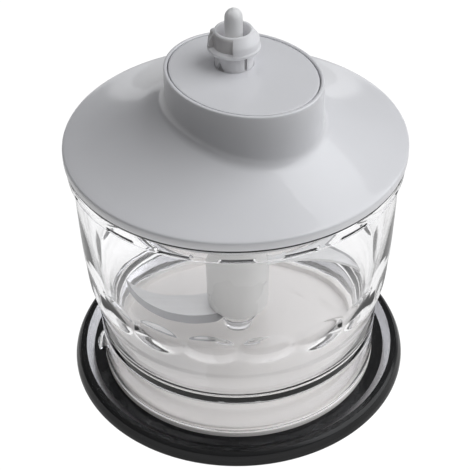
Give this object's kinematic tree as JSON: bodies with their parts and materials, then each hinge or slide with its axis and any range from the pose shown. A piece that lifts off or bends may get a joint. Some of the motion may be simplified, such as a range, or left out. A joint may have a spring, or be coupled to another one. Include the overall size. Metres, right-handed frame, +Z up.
{
  "type": "immersion blender chopper attachment",
  "caption": "Chopper attachment of a hand blender: clear fluted bowl on an anti-slip ring, twin-blade column and a domed white lid with an offset gear drum and drive coupling.",
  "frame": {"origin": "bottom centre of the anti-slip ring, on the bowl's axis", "axes": "+Z up along the bowl's axis and the drive pin; -Y is the front; +X is to the right seen from the front"},
  "size_m": [0.128, 0.128, 0.1484],
  "materials": {
    "ring_rubber": "satin moulded elastomer",
    "base_plastic": "fine satin",
    "clear_plastic": "clear polished plastic",
    "steel": "turned",
    "blade_steel": "ground and polished",
    "hub_plastic": "gloss",
    "lid_plastic": "soft gloss",
    "collar_plastic": "soft gloss",
    "natural_plastic": "natural acetal",
    "brass": "sintered",
    "seal_rubber": "satin"
  },
  "bodies": {
    "base": {"base_ring": "ring_rubber", "base_disc": "base_plastic", "grip_pads": "ring_rubber"},
    "bowl": {"bowl": "clear_plastic", "bowl_pin": "steel"},
    "blade_core": {"blade_bush": "natural_plastic"},
    "blade": {"blade_hub": "hub_plastic", "lower_blade": "blade_steel", "upper_blade": "blade_steel", "hub_ring": "natural_plastic"},
    "lid": {"lid_shell": "lid_plastic", "top_cap": "lid_plastic", "coupling_collar": "collar_plastic", "collar_bush": "brass", "second_axle": "steel", "output_bush": "brass", "gear_plate": "natural_plastic", "plate_screws": "steel", "lid_cover": "lid_plastic", "lid_seal": "seal_rubber", "shaft_seal": "seal_rubber"},
    "input": {"drive_pin": "collar_plastic", "input_shaft": "steel", "input_pinion": "natural_plastic"},
    "second": {"second_wheel": "natural_plastic", "second_pinion": "steel"},
    "output": {"output_gear": "natural_plastic", "output_shaft": "hub_plastic", "output_clip": "steel"}
  },
  "joints": [
    {"name": "bowl_lift", "type": "slide", "parent": "base", "child": "bowl", "axis": [0, 0, 1], "range_m": [0, 0.04]},
    {"name": "lid_lift", "type": "slide", "parent": "bowl", "child": "lid", "axis": [0, 0, 1], "range_m": [0, 0.2]},
    {"name": "blade_lift", "type": "slide", "parent": "bowl", "child": "blade_core", "axis": [0, 0, 1], "range_m": [0, 0.09]},
    {"name": "blade_spin", "type": "hinge", "parent": "blade_core", "child": "blade", "pos_m": [0, 0, 0.05], "axis": [0, 0, 1], "continuous": true},
    {"name": "output_spin", "type": "hinge", "parent": "lid", "child": "output", "pos_m": [0, 0, 0.1], "axis": [0, 0, 1], "continuous": true},
    {"name": "second_spin", "type": "hinge", "parent": "lid", "child": "second", "pos_m": [0.01034, -0.01324, 0.115], "axis": [0, 0, 1], "continuous": true},
    {"name": "input_spin", "type": "hinge", "parent": "lid", "child": "input", "pos_m": [0, 0, 0.13], "axis": [0, 0, 1], "continuous": true}
  ],
  "couplings": [
    {"joint": "blade_lift", "follows": "lid_lift", "ratio": 0.45},
    {"joint": "output_spin", "follows": "blade_spin", "ratio": 1},
    {"joint": "second_spin", "follows": "blade_spin", "ratio": -2.5},
    {"joint": "input_spin", "follows": "blade_spin", "ratio": 6.25}
  ]
}
